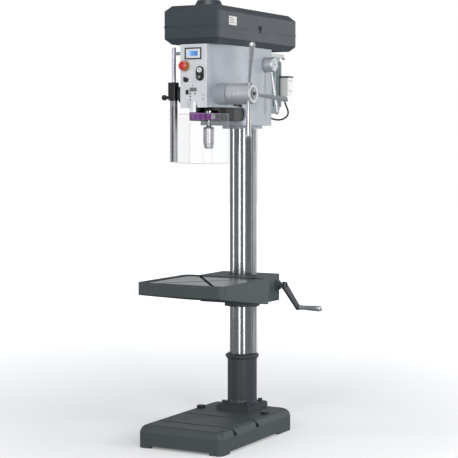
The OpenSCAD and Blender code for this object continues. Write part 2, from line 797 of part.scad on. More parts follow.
// Body of the guard, inset by a wall, chamfered all round at its low and high edges
module guard_solid(wall, z0, z1, c0, c1) {
    half = guard_w / 2 - wall;
    front = -guard_front + wall;
    back = guard_back - wall;
    intersection() {
        side_profile(guard_side(front, back, z0, z1, c0, c1), -200, 200);
        translate([0, 400, 0]) rotate([90, 0, 0]) linear_extrude(1000)
            polygon(guard_side(-half, half, z0, z1, c0, c1));
        slab(-half, half, front, back, z0 - 1, z1 + 1, 9 - wall);
    }
}

module guard_tray() {
    low = head_top;
    color(cover) difference() {
        union() {
            guard_solid(0, low, seam_z, 25, 0.01);
            slab(-guard_w / 2 - 2, guard_w / 2 + 2, -guard_front - 2, guard_back + 2, seam_z - 5, seam_z, 9);
            block(-guard_w / 2 + 6, -guard_w / 2 + 16, -guard_front - 8, -guard_front + 4, seam_z - 4, seam_z - 0.5);
            block(guard_w / 2 - 16, guard_w / 2 - 6, guard_back - 4, guard_back + 8, seam_z - 4, seam_z - 0.5);
            for (s = [-1, 1], e = [-21, 18])
                block(-guard_w / 2 - 8, -guard_w / 2 + 3, s * 150 - 75 + e, s * 150 - 72 + e, seam_z - 12, seam_z + 3);
        }
        guard_solid(4, low + 3.5, seam_z + 10, 24, 0.01);
        along_z(0, sp_y, low - 5, 34, 20);
        along_z(0, motor_y, low - 5, 44, 20);
        for (s = [-1, 1])
            block(-guard_w / 2 - 9, -guard_w / 2 + 3.5, s * 150 - 92.5, s * 150 - 57.5, seam_z - 6, seam_z + 9);
    }
    color(dark) for (s = [-1, 1]) along_y(-guard_w / 2 - 4, s * 150 - 94, seam_z, 2.5, 38);
}

module guard_lid() {
    color(cover) difference() {
        union() {
            guard_solid(0, seam_z + gap, lid_z, 0.01, 27);
            translate([0, sp_y, lid_z - 1]) cylinder(r1 = 66, r2 = 50, h = 31);
            for (s = [-1, 1])
                block(-guard_w / 2 - 8, -guard_w / 2 + 1, s * 150 - 91, s * 150 - 59, seam_z, seam_z + 8);
        }
        guard_solid(4, seam_z - 10, lid_z - 4, 0.01, 26);
        translate([0, sp_y, lid_z - 6]) cylinder(r1 = 62, r2 = 46, h = 32);
        for (s = [-1, 1]) {
            along_y(-guard_w / 2 - 4, s * 150 - 96, seam_z, 2.5 + run, 42);
            block(-guard_w / 2 - 12, -guard_w / 2 - 8, s * 150 - 100, s * 150 - 50, seam_z - 5, seam_z + 12);
            for (e = [-97.5, -59]) block(-guard_w / 2 - 12, -guard_w / 2 + 4.5, s * 150 + e, s * 150 + e + 6.5,
                seam_z - 5, seam_z + 4.5);
        }
    }
}

module lid_latch() {
    color(dark) {
        along_x(guard_w / 2 + 0.5, -82, seam_z + 10, 9, 7);
        along_x(guard_w / 2 + 6, -82, seam_z + 10, 5, 4);
        block(guard_w / 2 + 2.6, guard_w / 2 + 5.6, -85, -79, seam_z - 14, seam_z + 10);
    }
}

// ---- Chuck guard ----

module shield_post() {
    color(steel) {
        along_z(-post_x, -post_y, 1517, post_d / 2, 232);
        along_x(-post_x, -post_y, 1722, 7, 64);
        along_x(-80, -post_y, 1722, 12, 8);
    }
}

module shield_clamp() {
    color(plastic) difference() {
        union() {
            slab(-post_x - 18, -post_x + 18, -post_y - 24, -post_y + 16, 1520, 1596, 5);
            slab(-post_x - 14, -post_x + 14, -post_y - 20, -post_y + 12, 1516, 1521, 3);
        }
        along_z(-post_x, -post_y, 1490, post_d / 2 + run, 200);
        along_x(-post_x - 40, -post_y - 12, 1530, 4, 18);
    }
    color(plastic) translate([-post_x - 12, -post_y - 12, 1530]) rotate([0, -90, 0]) {
        cylinder(r = 3.9, h = 14);
        translate([0, 0, 10]) cylinder(r = 7, h = 14);
        translate([0, 0, 22]) rotate_extrude() polygon([[0, 0], [10, 0], [12, 3], [12, 14], [9, 17], [0, 17]]);
    }
}

module shield_rail() {
    color("#9b9fa3") difference() {
        slab(-post_x - 13, -post_x + 13, -post_y - 14, -post_y + 10, 1246, 1515.9, 2);
        block(-post_x - 3, -post_x + 3, -post_y - 16, -post_y - 5, 1240, 1490);
        block(-post_x - 8, -post_x + 8, -post_y - 9, -post_y - 4, 1240, 1490);
        block(-post_x + 5, -post_x + 20, -post_y - 3.2, -post_y + 0.2, 1240, 1462);
    }
}

// Clear shield: a folded sheet that stands round the front and side of the chuck
module chuck_shield() {
    edge = [[-post_x + 5.1, -post_y - 3], [-post_x + 18, -post_y - 3], [4, -post_y - 104],
        [73, -post_y - 104], [98, -post_y - 72], [105, -322]];
    inner = [[102, -322], [95.1, -post_y - 71], [71.6, -post_y - 101], [4.9, -post_y - 101],
        [-post_x + 19, -post_y], [-post_x + 5.1, -post_y]];
    color("#e8eef2", 0.35) translate([0, 0, 1242]) linear_extrude(216) polygon(concat(edge, inner));
}

base_casting();
base_plugs();
column_foot();
foot_bolts();
column();
rack();
table();
table_arm();
table_bolts();
lift_gear();
crank_shaft();
crank_arm();
crank_grip();
table_lock_lever();
head_casting();
head_clamp_screws();
control_panel();
display();
estop_collar();
estop_button();
button_box();
start_button();
stop_button();
selector_plate();
selector_knob();
power_rocker();
position_readout();
depth_scale();
lamp_housing();
lamp_lens();
quill_lock();
quill();
quill_bearings();
spindle();
depth_ring();
depth_ring_screw();
chuck_body();
chuck_sleeve();
chuck_jaw_1();
chuck_jaw_2();
chuck_jaw_3();
feed_shaft();
capstan_hub();
capstan_levers();
return_spring_case();
tension_hub();
tension_lever();
motor();
motor_pulley();
terminal_box();
motor_cable();
spindle_pulley();
drive_belt();
guard_tray();
guard_lid();
lid_latch();
shield_post();
shield_clamp();
shield_rail();
chuck_shield();
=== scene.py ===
import json
import math

import bmesh
import bpy
from mathutils import Matrix, Vector


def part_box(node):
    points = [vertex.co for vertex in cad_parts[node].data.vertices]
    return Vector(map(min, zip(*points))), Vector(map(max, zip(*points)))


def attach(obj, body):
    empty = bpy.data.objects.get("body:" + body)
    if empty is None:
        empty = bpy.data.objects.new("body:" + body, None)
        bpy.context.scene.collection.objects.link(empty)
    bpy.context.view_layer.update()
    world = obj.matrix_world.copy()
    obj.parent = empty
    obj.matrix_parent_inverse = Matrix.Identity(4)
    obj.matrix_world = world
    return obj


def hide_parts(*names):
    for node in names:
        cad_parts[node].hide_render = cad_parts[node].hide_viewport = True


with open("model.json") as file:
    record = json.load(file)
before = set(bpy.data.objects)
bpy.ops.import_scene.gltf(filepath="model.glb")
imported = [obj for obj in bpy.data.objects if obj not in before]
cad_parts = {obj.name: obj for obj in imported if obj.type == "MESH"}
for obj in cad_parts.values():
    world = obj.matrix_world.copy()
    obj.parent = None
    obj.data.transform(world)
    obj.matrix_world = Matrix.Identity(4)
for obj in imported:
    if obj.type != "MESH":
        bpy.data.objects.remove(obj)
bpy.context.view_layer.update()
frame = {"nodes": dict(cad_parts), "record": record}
NODES = frame["nodes"]
MM = 0.001

X, Y, Z = Vector((1, 0, 0)), Vector((0, 1, 0)), Vector((0, 0, 1))


# ---- Places taken from the frame ----

def centre(node):
    low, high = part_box(node)
    return (low + high) / 2


# Front face of the control panel, whose plate is 2.9 mm thick
PANEL_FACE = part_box("control_panel")[1].y - 2.9 * MM


# ---- Camera, floor and light ----

CAMERA_AZIMUTH = math.radians(28)
CAMERA_DISTANCE = 6.65
CAMERA_HEIGHT = 1.342
CAMERA_TILT = math.radians(90 - 3.52)
CAMERA_PAN = math.radians(0.53)
CAMERA_LENS = 113.2

FLOOR_RADIUS = 24
BACKDROP_RADIUS = 30
LIGHT_TARGET = Vector((0, -0.2, 1.0))
WORLD_COLOR = (0.93, 0.96, 1.0, 1)
WORLD_STRENGTH = 0.34


def around(azimuth, distance, height):
    """Place at an azimuth round the object: 0 is in front of it, a quarter turn on its right."""
    return Vector((distance * math.sin(azimuth), -distance * math.cos(azimuth), height))


def make_camera():
    data = bpy.data.cameras.new("camera")
    data.sensor_width = 36
    data.lens = CAMERA_LENS
    data.clip_end = 60
    camera = bpy.data.objects.new("camera", data)
    camera.location = around(CAMERA_AZIMUTH, CAMERA_DISTANCE, CAMERA_HEIGHT)
    camera.rotation_euler = (CAMERA_TILT, 0, CAMERA_AZIMUTH + CAMERA_PAN)
    bpy.context.scene.collection.objects.link(camera)
    bpy.context.scene.camera = camera


def area_light(name, azimuth, distance, height, size, power, mirrored=True, fills=True):
    """A soft box that faces the object, at an azimuth in degrees.
    Gloss shows it only where mirrored is true, and it fills matt surfaces only where fills is true."""
    place = around(math.radians(azimuth), distance, height)
    data = bpy.data.lights.new(name, "AREA")
    data.shape = "RECTANGLE"
    data.size, data.size_y = size
    data.energy = power
    lamp = bpy.data.objects.new(name, data)
    lamp.location = place
    lamp.rotation_euler = (LIGHT_TARGET - place).to_track_quat("-Z", "Y").to_euler()
    lamp.visible_camera = False
    lamp.visible_glossy = mirrored
    lamp.visible_diffuse = fills
    bpy.context.scene.collection.objects.link(lamp)


def make_lights():
    area_light("front", 3, 5.4, 1.5, (1.0, 4.0), power=84)
    area_light("right", 46, 5.0, 1.6, (0.6, 4.0), power=85)
    area_light("side", 92, 4.6, 1.3, (2.2, 3.0), power=130, mirrored=False)
    area_light("left", -62, 4.8, 1.8, (1.0, 3.2), power=40)
    area_light("sheen", 152, 5.0, 1.8, (2.6, 3.2), power=42)
    area_light("back", 210, 5.5, 2.4, (2.0, 1.0), power=8)
    area_light("overhead", 20, 1.8, 4.6, (1.6, 1.6), power=60, fills=False)
    area_light("top", 20, 1.6, 4.8, (1.4, 1.4), power=12, mirrored=False)


def make_backdrop():
    """White surround that only the camera sees, so the steel mirrors the soft boxes and not a white room."""
    bpy.ops.mesh.primitive_uv_sphere_add(segments=48, ring_count=24, radius=BACKDROP_RADIUS,
                                         location=(0, 0, 1))
    dome = bpy.context.object
    dome.name = "backdrop"
    for ray in ("diffuse", "glossy", "transmission", "volume_scatter", "shadow"):
        setattr(dome, "visible_" + ray, False)
    material = bpy.data.materials.new("backdrop")
    material.use_nodes = True
    tree = material.node_tree
    glow = tree.nodes.new("ShaderNodeEmission")
    glow.inputs["Color"].default_value = (0.97, 0.97, 0.975, 1)
    glow.inputs["Strength"].default_value = 1.04
    tree.links.new(glow.outputs[0], tree.nodes["Material Output"].inputs["Surface"])
    dome.data.materials.append(material)


def make_floor():
    bpy.ops.mesh.primitive_circle_add(vertices=96, radius=FLOOR_RADIUS, fill_type="NGON",
                                      location=(0, 0, -0.5 * MM))
    floor = bpy.context.object
    floor.name = "floor"
    floor.visible_glossy = False
    floor.visible_diffuse = False
    floor.data.materials.append(floor_material())


def make_world():
    world = bpy.data.worlds.new("studio")
    bpy.context.scene.world = world
    world.use_nodes = True
    background = world.node_tree.nodes["Background"]
    background.inputs["Color"].default_value = WORLD_COLOR
    background.inputs["Strength"].default_value = WORLD_STRENGTH
    bpy.context.scene.view_settings.view_transform = "Standard"


# ---- Node helpers ----

def new_material(name):
    material = bpy.data.materials.new(name)
    material.use_nodes = True
    tree = material.node_tree
    return material, tree, tree.nodes["Principled BSDF"]


def coordinates(tree, scale):
    place = tree.nodes.new("ShaderNodeTexCoord")
    mapping = tree.nodes.new("ShaderNodeMapping")
    mapping.inputs["Scale"].default_value = scale
    tree.links.new(place.outputs["Object"], mapping.inputs["Vector"])
    return mapping.outputs["Vector"]


def noise(tree, scale, stretch=(1, 1, 1), detail=4.0, rough=0.6):
    node = tree.nodes.new("ShaderNodeTexNoise")
    node.inputs["Scale"].default_value = scale
    node.inputs["Detail"].default_value = detail
    node.inputs["Roughness"].default_value = rough
    tree.links.new(coordinates(tree, stretch), node.inputs["Vector"])
    return node.outputs["Fac"]


def ramp(tree, factor, stops):
    """Colour ramp through (position, colour) stops."""
    node = tree.nodes.new("ShaderNodeValToRGB")
    while len(node.color_ramp.elements) < len(stops):
        node.color_ramp.elements.new(0.5)
    for element, (position, color) in zip(node.color_ramp.elements, stops):
        element.position = position
        element.color = (*color, 1)
    tree.links.new(factor, node.inputs["Fac"])
    return node.outputs["Color"]


def threshold(tree, factor, low, high):
    """Mask that is black below low and white above high."""
    return ramp(tree, factor, [(low, (0, 0, 0)), (high, (1, 1, 1))])


def mix(tree, factor, first, second, blend="MIX"):
    """Mix of two colours; each input is a number, a colour or another node's output."""
    node = tree.nodes.new("ShaderNodeMix")
    node.data_type = "RGBA"
    node.blend_type = blend
    factor_socket, first_socket, second_socket = node.inputs[0], node.inputs[6], node.inputs[7]
    if isinstance(factor, (int, float)):
        factor_socket.default_value = factor
    else:
        tree.links.new(factor, factor_socket)
    for socket, value in ((first_socket, first), (second_socket, second)):
        if isinstance(value, tuple):
            socket.default_value = (*value, 1)
        else:
            tree.links.new(value, socket)
    return node.outputs[2]


def remap(tree, factor, low, high):
    """Spreads a factor of 0 to 1 over low to high."""
    node = tree.nodes.new("ShaderNodeMapRange")
    node.inputs["To Min"].default_value = low
    node.inputs["To Max"].default_value = high
    tree.links.new(factor, node.inputs["Value"])
    return node.outputs["Result"]


def math_node(tree, operation, first, second):
    """Math node whose first input is an output, and whose second is an output or a number."""
    node = tree.nodes.new("ShaderNodeMath")
    node.operation = operation
    tree.links.new(first, node.inputs[0])
    if isinstance(second, (int, float)):
        node.inputs[1].default_value = second
    else:
        tree.links.new(second, node.inputs[1])
    return node.outputs[0]


def bump(tree, shader, height, strength, distance):
    node = tree.nodes.new("ShaderNodeBump")
    node.inputs["Strength"].default_value = strength
    node.inputs["Distance"].default_value = distance
    tree.links.new(height, node.inputs["Height"])
    tree.links.new(node.outputs["Normal"], shader.inputs["Normal"])


def shade(color, factor):
    return tuple(min(1.0, channel * factor) for channel in color)


def edge_wear(tree):
    """Mask that is white along convex edges, broken up by a fine noise."""
    geometry = tree.nodes.new("ShaderNodeNewGeometry")
    edges = threshold(tree, geometry.outputs["Pointiness"], 0.53, 0.60)
    breakup = threshold(tree, noise(tree, 60, detail=6), 0.42, 0.62)
    return mix(tree, 1.0, edges, breakup, "MULTIPLY")


# ---- Materials ----

def floor_material():
    """Pale floor that keeps its shadows near the object and fades into the backdrop further off."""
    material, tree, shader = new_material("floor")
    shader.inputs["Base Color"].default_value = (0.90, 0.90, 0.905, 1)
    shader.inputs["Roughness"].default_value = 0.8
    place = tree.nodes.new("ShaderNodeTexCoord")
    length = tree.nodes.new("ShaderNodeVectorMath")
    length.operation = "LENGTH"
    tree.links.new(place.outputs["Object"], length.inputs[0])
    fade = tree.nodes.new("ShaderNodeMapRange")
    for socket, value in (("From Min", 0.9), ("From Max", 5.5), ("To Min", 0.20), ("To Max", 0.95)):
        fade.inputs[socket].default_value = value
    tree.links.new(length.outputs["Value"], fade.inputs["Value"])
    shader.inputs["Emission Color"].default_value = (1, 1, 1, 1)
    tree.links.new(fade.outputs["Result"], shader.inputs["Emission Strength"])
    return material


def enamel(name, color, rough, coat, grain=0.06, wear=0.25):
    """Sprayed enamel on a casting: slight mottling, orange peel, rubbed edges."""
    material, tree, shader = new_material(name)
    cloud = noise(tree, 3.5, detail=5)
    body = ramp(tree, cloud, [(0.3, shade(color, 0.86)), (0.5, color), (0.72, shade(color, 1.14))])
    speck = ramp(tree, noise(tree, 420, detail=2), [(0.35, shade(color, 0.8)), (0.6, shade(color, 1.12))])
    body = mix(tree, 0.28, body, speck)
    rubbed = mix(tree, edge_wear(tree), body, shade(color, 1.9))
    tree.links.new(mix(tree, wear, body, rubbed), shader.inputs["Base Color"])
    dull = remap(tree, noise(tree, 14, detail=5), rough - 0.08, rough + 0.12)
    tree.links.new(dull, shader.inputs["Roughness"])
    shader.inputs["Coat Weight"].default_value = coat
    shader.inputs["Coat Roughness"].default_value = 0.18
    bump(tree, shader, noise(tree, 330, detail=3), grain, 1.2 * MM)
    return material


def steel(name, color, rough, stretch=(1, 1, 60), streak=9, strength=0.03, vary=1.0):
    """Ground or brushed steel: fine streaks, oil smears and faint scratches."""
    material, tree, shader = new_material(name)
    lines = noise(tree, streak, stretch, detail=6, rough=0.7)
    smear = noise(tree, 6, detail=3)
    body = ramp(tree, lines, [(0.3, shade(color, 0.8)), (0.55, color), (0.75, shade(color, 1.12))])
    body = mix(tree, 0.22, body, ramp(tree, smear, [(0.4, shade(color, 0.72)), (0.65, shade(color, 1.08))]))
    tree.links.new(body, shader.inputs["Base Color"])
    dull = remap(tree, mix(tree, 0.5, lines, smear), rough - 0.06 * vary, rough + 0.14 * vary)
    tree.links.new(dull, shader.inputs["Roughness"])
    shader.inputs["Metallic"].default_value = 1.0
    bump(tree, shader, lines, strength, 0.6 * MM)
    return material


def moulded(name, color, rough, grain=0.12, scale=900, coat=0.0):
    """Injection-moulded plastic or rubber: fine spark-eroded grain with light scuffs."""
    material, tree, shader = new_material(name)
    cloud = noise(tree, 12, detail=4)
    body = ramp(tree, cloud, [(0.35, shade(color, 0.85)), (0.7, shade(color, 1.15))])
    scuff = threshold(tree, noise(tree, 30, (1, 7, 1), detail=8, rough=0.8), 0.62, 0.72)
    body = mix(tree, 0.10, body, mix(tree, scuff, body, shade(color, 2.2)))
    tree.links.new(body, shader.inputs["Base Color"])
    tree.links.new(remap(tree, cloud, rough - 0.08, rough + 0.1), shader.inputs["Roughness"])
    shader.inputs["Coat Weight"].default_value = coat
    bump(tree, shader, noise(tree, scale, detail=2), grain, 0.5 * MM)
    return material


def rubber(name, color):
    return moulded(name, color, rough=0.62, grain=0.2, scale=500)


def clear_sheet(name):
    """Clear polycarbonate: thin, with a grey tint that deepens at a slant, and faint smears in its gloss."""
    material, tree, shader = new_material(name)
    shader.inputs["Base Color"].default_value = (0.55, 0.60, 0.62, 1)
    shader.inputs["IOR"].default_value = 1.5
    tree.links.new(remap(tree, noise(tree, 22, detail=5), 0.02, 0.14), shader.inputs["Roughness"])
    slant = tree.nodes.new("ShaderNodeLayerWeight")
    slant.inputs["Blend"].default_value = 0.35
    tree.links.new(remap(tree, slant.outputs["Facing"], 0.015, 0.13), shader.inputs["Alpha"])
    bump(tree, shader, noise(tree, 5, detail=2), 0.02, 1 * MM)
    return material


def sheet_edge_shading(name):
    """Painted highlight and shade for the edges and bends of the clear sheet: a half-clear grey that stands
    in for the light they catch, which is more than its faces catch.
    """
    material = moulded(name, (0.46, 0.50, 0.52), rough=0.25, coat=0.3)
    material.node_tree.nodes["Principled BSDF"].inputs["Alpha"].default_value = 0.55
    return material


IRON = (0.050, 0.062, 0.066)
MOTOR_GREEN = (0.26, 0.31, 0.32)

MATERIALS = {
    "iron_paint": enamel("iron_paint", IRON, rough=0.56, coat=0.0),
    "black_steel": enamel("black_steel", (0.034, 0.040, 0.047), rough=0.46, coat=0.1),
    "bright_steel": steel("bright_steel", (0.38, 0.395, 0.40), rough=0.16, strength=0.006, vary=0.35),
    "lever_chrome": steel("lever_chrome", (0.74, 0.75, 0.77), rough=0.30, stretch=(1, 1, 8), strength=0.02),
    "chuck_steel": steel("chuck_steel", (0.62, 0.62, 0.635), rough=0.36, stretch=(1, 1, 25), streak=20,
                         strength=0.04),
    "head_paint": enamel("head_paint", (0.342, 0.370, 0.403), rough=0.44, coat=0.2, wear=0.12),
    "panel_paint": enamel("panel_paint", (0.69, 0.71, 0.735), rough=0.46, coat=0.1, grain=0.03, wear=0.08),
    "cover_paint": enamel("cover_paint", (0.030, 0.040, 0.050), rough=0.50, coat=0.1),
    "black_plastic": moulded("black_plastic", (0.012, 0.013, 0.015), rough=0.40),
    "readout_plastic": moulded("readout_plastic", (0.20, 0.23, 0.24), rough=0.5),
    "white_plastic": moulded("white_plastic", (0.80, 0.81, 0.82), rough=0.3, coat=0.3),
    "stop_red": moulded("stop_red", (0.60, 0.030, 0.020), rough=0.32, coat=0.4),
    # The emergency stop collar's yellow is darkened and dulled towards olive: painted shade over the collar.
    "stop_yellow": moulded("stop_yellow", (0.44, 0.36, 0.14), rough=0.4),
    "lamp_glass": moulded("lamp_glass", (0.70, 0.60, 0.45), rough=0.25, scale=200, coat=0.3),
    "purple_paint": enamel("purple_paint", (0.140, 0.008, 0.180), rough=0.42, coat=0.2, wear=0.08),
    "motor_paint": enamel("motor_paint", MOTOR_GREEN, rough=0.45, coat=0.2),
    "box_plastic": moulded("box_plastic", (0.66, 0.67, 0.62), rough=0.45),
    "cable_rubber": rubber("cable_rubber", (0.010, 0.010, 0.012)),
    "belt_rubber": rubber("belt_rubber", (0.014, 0.014, 0.015)),
    "hub_metal": steel("hub_metal", (0.66, 0.675, 0.70), rough=0.42, stretch=(60, 1, 1), strength=0.05),
    "rail_aluminium": steel("rail_aluminium", (0.60, 0.61, 0.63), rough=0.33),
    "clear_sheet": clear_sheet("clear_sheet"),
}

# Finishes of small Blender pieces only
INK = moulded("ink", (0.02, 0.02, 0.022), rough=0.5)
PALE_PRINT = moulded("pale_print", (0.82, 0.82, 0.80), rough=0.45)
LABEL = moulded("label", (0.60, 0.60, 0.57), rough=0.38, coat=0.3)
DIAL_PRINT = moulded("dial_print", (0.56, 0.57, 0.59), rough=0.45)
READOUT_WINDOW = moulded("readout_window", (0.16, 0.19, 0.19), rough=0.15, coat=0.7)
# Painted shade: the capstan cap's steel is darker than the hub's metal, to tone down the light its face
# mirrors.
SHADED_CAP_STEEL = steel("shaded_cap_steel", (0.40, 0.41, 0.425), rough=0.42)
ZINC = steel("zinc", (0.56, 0.57, 0.58), rough=0.32, stretch=(1, 1, 4))
# Painted highlight and shade along the shield's edges and bends
SHEET_EDGE_SHADING = sheet_edge_shading("shield_edge_shading")

# Width in millimetres of the softly rounded edges on castings, covers and mouldings
EDGE_WIDTHS = {
    "base_casting": 2.5, "table": 2.0, "table_arm": 3.0, "column_foot": 1.5, "guard_tray": 3.0,
    "guard_lid": 3.0, "head_casting": 2.0, "control_panel": 0.6, "display": 0.8, "button_box": 1.5,
    "shield_clamp": 1.0, "motor": 1.2, "crank_arm": 1.5, "base_plugs": 1.0, "power_rocker": 0.6,
    "terminal_box": 1.0, "depth_scale": 0.6, "lid_latch": 0.6, "lamp_housing": 1.0,
}


def dress_cad_nodes():
    """Every CAD node gets its slot's detailed material and, where EDGE_WIDTHS names it, rounded edges."""
    slots = {part["node"]: part["material_slot"] for part in frame["record"]["subparts"]}
    # The rack takes the paler hub_metal in place of its slot's finish: a painted highlight standing in for
    # the glint on its toothed face.
    slots.update(shield_post="rail_aluminium", rack="hub_metal")
    # The lamp_housing node lines the recess under the head's nose: its black is partly real black paint and
    # partly painted shade standing in for the shadow in that recess.
    for name, node in NODES.items():
        node.data.materials.clear()
        node.data.materials.append(MATERIALS[slots[name]])
        if name in EDGE_WIDTHS:
            edge = node.modifiers.new("edges", "BEVEL")
            edge.width = EDGE_WIDTHS[name] * MM
            edge.segments = 2
            edge.limit_method = "ANGLE"
            edge.angle_limit = math.radians(35)
            edge.harden_normals = False


# ---- Mesh helpers ----

def link_piece(name, mesh, material, body, smooth=None):
    """Makes the piece, rides it on its body and, given an angle in degrees, shades it smooth up to it."""
    piece = bpy.data.objects.new(name, mesh)
    bpy.context.scene.collection.objects.link(piece)
    mesh.materials.append(material)
    if smooth is not None:
        for polygon in mesh.polygons:
            polygon.use_smooth = True
        mesh.set_sharp_from_angle(angle=math.radians(smooth))
    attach(piece, body)
    return piece


def finish_shape(name, shape, material, body, smooth=None):
    """Turns a bmesh into a piece."""
    mesh = bpy.data.meshes.new(name)
    shape.to_mesh(mesh)
    shape.free()
    return link_piece(name, mesh, material, body, smooth)


def along(direction, place):
    """Matrix that stands a shape made along +Z on a place, pointing in a direction."""
    turn = direction.to_track_quat("Z", "Y").to_matrix().to_4x4()
    return Matrix.Translation(Vector(place)) @ turn


def circle_of_verts(shape, radius, height, steps):
    angles = [2 * math.pi * k / steps for k in range(steps)]
    return [shape.verts.new((radius * math.cos(angle), radius * math.sin(angle), height)) for angle in angles]


def add_block(shape, middle, extent, matrix=None):
    """A block of an extent about a middle, in metres, then moved by the matrix."""
    made = bmesh.ops.create_cube(shape, size=1.0)
    for vertex in made["verts"]:
        vertex.co = Vector([middle[k] + vertex.co[k] * extent[k] for k in range(3)])
        if matrix is not None:
            vertex.co = matrix @ vertex.co


def lathe(name, profile, place, direction, material, body, steps=48):
    """A turned piece: profile is a list of (radius, height) in millimetres.
    It closes on itself where its last point is its first, and is capped at both ends otherwise."""
    shape = bmesh.new()
    rings = []
    for radius, height in profile:
        if radius == 0:
            rings.append([shape.verts.new((0, 0, height * MM))])
        else:
            rings.append(circle_of_verts(shape, radius * MM, height * MM, steps))
    for lower, upper in zip(rings, rings[1:]):
        for k in range(steps):
            following = (k + 1) % steps
            if len(lower) == 1 and len(upper) > 1:
                shape.faces.new((lower[0], upper[following], upper[k]))
            elif len(upper) == 1 and len(lower) > 1:
                shape.faces.new((lower[k], lower[following], upper[0]))
            elif len(lower) > 1:
                shape.faces.new((lower[k], lower[following], upper[following], upper[k]))
    capped = profile[0] != profile[-1]
    if capped and len(rings[0]) > 1:
        shape.faces.new(list(reversed(rings[0])))
    if capped and len(rings[-1]) > 1:
        shape.faces.new(rings[-1])
    bmesh.ops.recalc_face_normals(shape, faces=shape.faces)
    bmesh.ops.transform(shape, matrix=along(direction, place), verts=shape.verts)
    return finish_shape(name, shape, material, body, smooth=35)


def soft_box(name, low, high, radius, material, body):
    """A block with rounded edges between two corners, in metres."""
    low, high = Vector(low), Vector(high)
    extent = high - low
    shape = bmesh.new()
    add_block(shape, (0, 0, 0), extent)
    bmesh.ops.bevel(shape, geom=list(shape.edges), offset=min(radius, min(extent) * 0.49), segments=3,
                    profile=0.5, affect="EDGES")
    bmesh.ops.translate(shape, vec=(low + high) / 2, verts=shape.verts)
    return finish_shape(name, shape, material, body, smooth=40)


def group_boxes(name, boxes, material, body):
    """Several small blocks in one piece; each is a low and a high corner in millimetres."""
    shape = bmesh.new()
    for low, high in boxes:
        low, high = Vector(low) * MM, Vector(high) * MM
        add_block(shape, (low + high) / 2, high - low)
    bmesh.ops.bevel(shape, geom=list(shape.edges), offset=0.1 * MM, segments=1, affect="EDGES")
    return finish_shape(name, shape, material, body)


def dial_marks(name, place, axis, radius, marks, body):
    """Ink marks round a dial: each is an angle in degrees and an extent in millimetres, long along Z."""
    shape = bmesh.new()
    for angle, extent in marks:
        matrix = Matrix.Translation(place) @ Matrix.Rotation(math.radians(angle), 4, axis)
        add_block(shape, (0, 0, radius), Vector(extent) * MM, matrix)
    return finish_shape(name, shape, INK, body)


def hex_head(name, place, direction, across, height, material, body, recess=0.0):
    """Hexagon head or nut with a chamfered crown; a recess, as a share of its height, opens its middle."""
    shape = bmesh.new()
    radius = across / math.sqrt(3)
    layers = [(0.96, 0.0), (1.0, 0.08), (1.0, 0.82), (0.9, 1.0)]
    if recess:
        layers += [(0.5, 1.0), (0.46, 1.0 - recess)]
    rings = [circle_of_verts(shape, radius * wide, height * high, 6) for wide, high in layers]
    for lower, upper in zip(rings, rings[1:]):
        for k in range(6):
            following = (k + 1) % 6
            shape.faces.new((lower[k], lower[following], upper[following], upper[k]))
    shape.faces.new(list(reversed(rings[0])))
    shape.faces.new(rings[-1])
    bmesh.ops.recalc_face_normals(shape, faces=shape.faces)
    bmesh.ops.transform(shape, matrix=along(direction, place), verts=shape.verts)
    return finish_shape(name, shape, material, body)


def round_curve(name, points, radius, resolution):
    """A round curve through points, in metres."""
    curve = bpy.data.curves.new(name, "CURVE")
    curve.dimensions = "3D"
    curve.bevel_depth = radius
    curve.bevel_resolution = resolution
    curve.use_fill_caps = True
    spline = curve.splines.new("POLY")
    spline.points.add(len(points) - 1)
    for target, point in zip(spline.points, points):
        target.co = (*point, 1)
    spline.use_smooth = True
    piece = bpy.data.objects.new(name, curve)
    bpy.context.scene.collection.objects.link(piece)
    return piece


def rod(name, points, radius, material, body):
    """A thin round rod through points, in metres, turned into a mesh."""
    maker = round_curve(name + "_curve", points, radius, 4)
    mesh = bpy.data.meshes.new_from_object(maker.evaluated_get(bpy.context.evaluated_depsgraph_get()))
    bpy.data.objects.remove(maker)
    mesh.name = name
    mesh.materials.clear()
    return link_piece(name, mesh, material, body, smooth=50)


# ---- Castings with two finishes, and the display ----

def height_mask(tree, low, high, upward):
    """White between two heights, in metres, of the piece at rest; upward keeps only faces that look up."""
    place = tree.nodes.new("ShaderNodeTexCoord")
    split = tree.nodes.new("ShaderNodeSeparateXYZ")
    tree.links.new(place.outputs["Object"], split.inputs[0])
    above = math_node(tree, "GREATER_THAN", split.outputs["Z"], low)
    below = math_node(tree, "LESS_THAN", split.outputs["Z"], high)
    both = math_node(tree, "MULTIPLY", above, below)
    if not upward:
        return both
    facing = tree.nodes.new("ShaderNodeSeparateXYZ")
    tree.links.new(place.outputs["Normal"], facing.inputs[0])
    level = math_node(tree, "GREATER_THAN", facing.outputs["Z"], 0.9)
    return math_node(tree, "MULTIPLY", level, both)


def second_finish(material, low, high, color, upward=False):
    """Adds a second colour between two heights; gives back the mask and the streaks that it follows."""
    tree = material.node_tree
    shader = tree.nodes["Principled BSDF"]
    mask = height_mask(tree, low, high, upward)
    painted = shader.inputs["Base Color"].links[0].from_socket
    lines = noise(tree, 10, (60, 1, 1), detail=6, rough=0.7)
    body = ramp(tree, lines, [(0.3, shade(color, 0.82)), (0.7, shade(color, 1.12))])
    tree.links.new(mix(tree, mask, painted, body), shader.inputs["Base Color"])
    return mask, lines


def ground_top(material, low, high, color, rough, metallic):
    """Makes the level faces between two heights bare ground iron."""
    tree = material.node_tree
    shader = tree.nodes["Principled BSDF"]
    mask, lines = second_finish(material, low, high, color, upward=True)
    tree.links.new(remap(tree, mask, 0, metallic), shader.inputs["Metallic"])
    painted = shader.inputs["Roughness"].links[0].from_socket
    ground = remap(tree, lines, rough - 0.05, rough + 0.1)
    tree.links.new(mix(tree, mask, painted, ground), shader.inputs["Roughness"])


